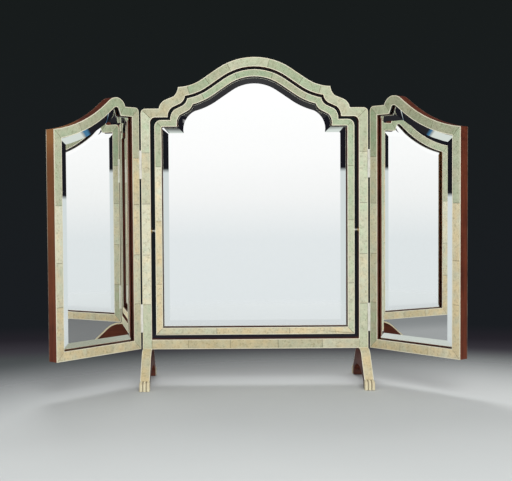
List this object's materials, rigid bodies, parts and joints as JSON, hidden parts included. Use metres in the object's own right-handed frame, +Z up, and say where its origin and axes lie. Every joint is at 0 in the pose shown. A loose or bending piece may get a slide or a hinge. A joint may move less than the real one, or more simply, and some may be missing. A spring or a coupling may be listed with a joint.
{
  "type": "dressing table mirror",
  "caption": "Free-standing dressing-table mirror: a tilting arched centre mirror in a fixed frame on two feet, with a hinged bevelled mirror wing on each side.",
  "frame": {"origin": "on the table, under the middle of the whole object's box", "axes": "+Z up, +Y from the mirror's face to its back, +X to the viewer's right"},
  "size_m": [0.7008, 0.258, 0.587],
  "materials": {
    "mahogany": "polished dark red-brown",
    "shagreen": "polished, pebbled, pale green to cream",
    "bone": "polished cream",
    "mirror_glass": "silvered and bevelled",
    "back_wood": "matt stained",
    "silvered_metal": "polished silver",
    "nickel": "polished",
    "brass": "aged"
  },
  "bodies": {
    "stand": {"frame_left_stile": "mahogany", "frame_right_stile": "mahogany", "frame_bottom_rail": "mahogany", "frame_crest_rail": "mahogany", "frame_shagreen": "shagreen", "frame_outer_stringing": "bone", "frame_inner_stringing": "bone", "left_foot": "mahogany", "right_foot": "mahogany", "foot_shagreen": "shagreen", "foot_stringing": "bone", "foot_toes": "bone", "foot_screws": "brass", "pivot_bushes": "brass", "frame_hinge_leaves": "silvered_metal", "hinge_pins": "silvered_metal", "frame_hinge_screws": "silvered_metal"},
    "swing_mirror": {"swing_left_stile": "mahogany", "swing_right_stile": "mahogany", "swing_bottom_rail": "mahogany", "swing_crest_rail": "mahogany", "swing_shagreen": "shagreen", "swing_outer_stringing": "bone", "swing_inner_stringing": "bone", "swing_glass": "mirror_glass", "swing_glazing_blocks": "back_wood", "swing_backboard": "back_wood", "swing_back_screws": "brass", "pivot_pins": "nickel"},
    "left_wing": {"left_wing_hinge_stile": "mahogany", "left_wing_outer_stile": "mahogany", "left_wing_bottom_rail": "mahogany", "left_wing_crest_rail": "mahogany", "left_wing_shagreen": "shagreen", "left_wing_outer_stringing": "bone", "left_wing_inner_stringing": "bone", "left_wing_glass": "mirror_glass", "left_wing_glazing_blocks": "back_wood", "left_wing_backboard": "back_wood", "left_wing_back_screws": "brass", "left_wing_hinge_leaves": "silvered_metal", "left_wing_hinge_screws": "silvered_metal"},
    "right_wing": {"right_wing_hinge_stile": "mahogany", "right_wing_outer_stile": "mahogany", "right_wing_bottom_rail": "mahogany", "right_wing_crest_rail": "mahogany", "right_wing_shagreen": "shagreen", "right_wing_outer_stringing": "bone", "right_wing_inner_stringing": "bone", "right_wing_glass": "mirror_glass", "right_wing_glazing_blocks": "back_wood", "right_wing_backboard": "back_wood", "right_wing_back_screws": "brass", "right_wing_hinge_leaves": "silvered_metal", "right_wing_hinge_screws": "silvered_metal"}
  },
  "joints": [
    {"name": "mirror_tilt", "type": "hinge", "parent": "stand", "child": "swing_mirror", "pos_m": [0, 0.03497, 0.277], "axis": [1, 0, 0], "range_deg": [-20, 20]},
    {"name": "left_wing_hinge", "type": "hinge", "parent": "stand", "child": "left_wing", "pos_m": [-0.2052, 0.02337, 0.262], "axis": [0, 0, 1], "range_deg": [-50, 55]},
    {"name": "right_wing_hinge", "type": "hinge", "parent": "stand", "child": "right_wing", "pos_m": [0.2052, 0.02337, 0.262], "axis": [0, 0, -1], "range_deg": [-50, 55]}
  ]
}
